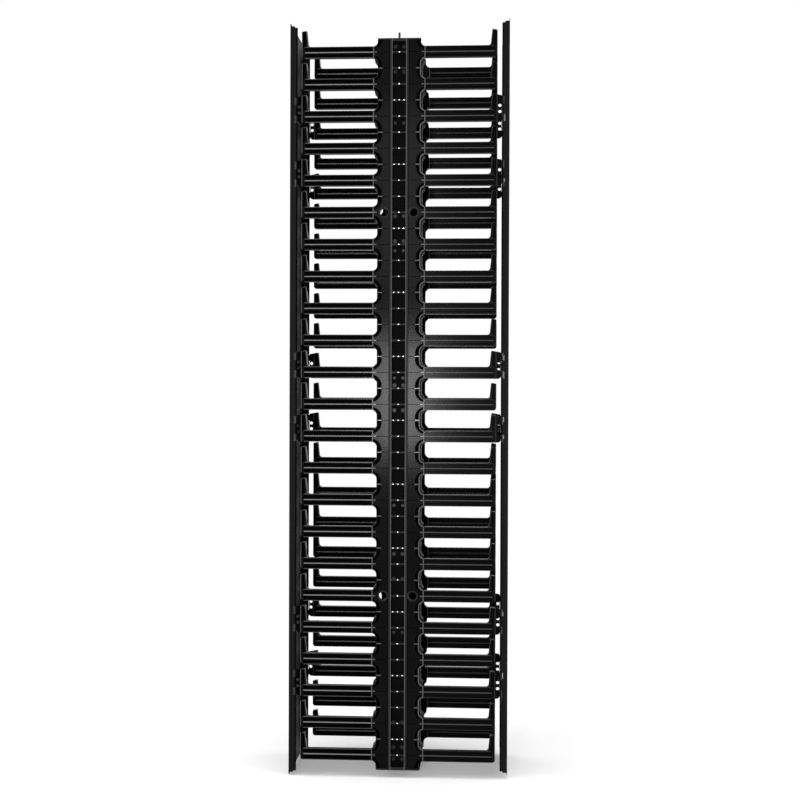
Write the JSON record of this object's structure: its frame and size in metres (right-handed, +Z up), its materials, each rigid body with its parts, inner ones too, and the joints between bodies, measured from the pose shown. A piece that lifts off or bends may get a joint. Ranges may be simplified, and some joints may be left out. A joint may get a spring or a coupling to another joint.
{
  "type": "vertical cable manager",
  "caption": "Tall double-sided vertical cable manager: moulded finger combs on a slim steel spine, cable channels front and rear, and full-height dual-hinged doors.",
  "frame": {"origin": "on the floor under the middle of the spine", "axes": "+Z up, X through the depth from one door to the other, Y across the width between racks"},
  "size_m": [0.612, 0.3048, 2.1125],
  "materials": {
    "comb_plastic": "satin black moulded plastic",
    "trim_plastic": "satin black moulded trim",
    "clip_plastic": "satin black moulded clips",
    "door_paint": "fine textured black powder coat",
    "frame_paint": "black powder coat",
    "bush_paint": "black coated steel",
    "rod_steel": "black oxide steel rod",
    "fastener_steel": "black zinc plated steel"
  },
  "bodies": {
    "frame": {"base_beam": "frame_paint", "base_foot": "frame_paint", "cross_rung_1": "frame_paint", "cross_rung_2": "frame_paint", "cross_rung_3": "frame_paint", "cross_rung_4": "frame_paint", "cross_rung_5": "frame_paint", "far_bottom_cap": "trim_plastic", "far_comb_screws": "fastener_steel", "far_ladder_strip": "trim_plastic", "far_left_hinge_clips": "clip_plastic", "far_left_lower_comb": "comb_plastic", "far_left_middle_comb": "comb_plastic", "far_left_rail": "frame_paint", "far_left_upper_comb": "comb_plastic", "far_mount_bushes": "bush_paint", "far_right_hinge_clips": "clip_plastic", "far_right_lower_comb": "comb_plastic", "far_right_middle_comb": "comb_plastic", "far_right_rail": "frame_paint", "far_right_upper_comb": "comb_plastic", "far_rung_bolts": "fastener_steel", "far_top_cap": "trim_plastic", "far_web": "frame_paint", "far_web_screws": "fastener_steel", "near_bottom_cap": "trim_plastic", "near_comb_screws": "fastener_steel", "near_ladder_strip": "trim_plastic", "near_left_hinge_clips": "clip_plastic", "near_left_lower_comb": "comb_plastic", "near_left_middle_comb": "comb_plastic", "near_left_rail": "frame_paint", "near_left_upper_comb": "comb_plastic", "near_mount_bushes": "bush_paint", "near_right_hinge_clips": "clip_plastic", "near_right_lower_comb": "comb_plastic", "near_right_middle_comb": "comb_plastic", "near_right_rail": "frame_paint", "near_right_upper_comb": "comb_plastic", "near_rung_bolts": "fastener_steel", "near_top_cap": "trim_plastic", "near_web": "frame_paint", "near_web_screws": "fastener_steel", "top_pins": "rod_steel"},
    "left_far_rod": {"left_door_far_rod": "rod_steel"},
    "left_door": {"left_door": "door_paint", "left_door_near_rod": "rod_steel"},
    "right_far_rod": {"right_door_far_rod": "rod_steel"},
    "right_door": {"right_door": "door_paint", "right_door_near_rod": "rod_steel"}
  },
  "joints": [
    {"name": "left_door_near_hinge", "type": "hinge", "parent": "frame", "child": "left_far_rod", "pos_m": [-0.2895, -0.13925, 1.06], "axis": [0, 0, 1], "range_deg": [0, 100]},
    {"name": "left_door_far_hinge", "type": "hinge", "parent": "left_far_rod", "child": "left_door", "pos_m": [-0.2895, 0.13925, 1.06], "axis": [0, 0, -1], "range_deg": [0, 100]},
    {"name": "right_door_near_hinge", "type": "hinge", "parent": "frame", "child": "right_far_rod", "pos_m": [0.2895, -0.13925, 1.06], "axis": [0, 0, -1], "range_deg": [0, 100]},
    {"name": "right_door_far_hinge", "type": "hinge", "parent": "right_far_rod", "child": "right_door", "pos_m": [0.2895, 0.13925, 1.06], "axis": [0, 0, 1], "range_deg": [0, 100]}
  ]
}
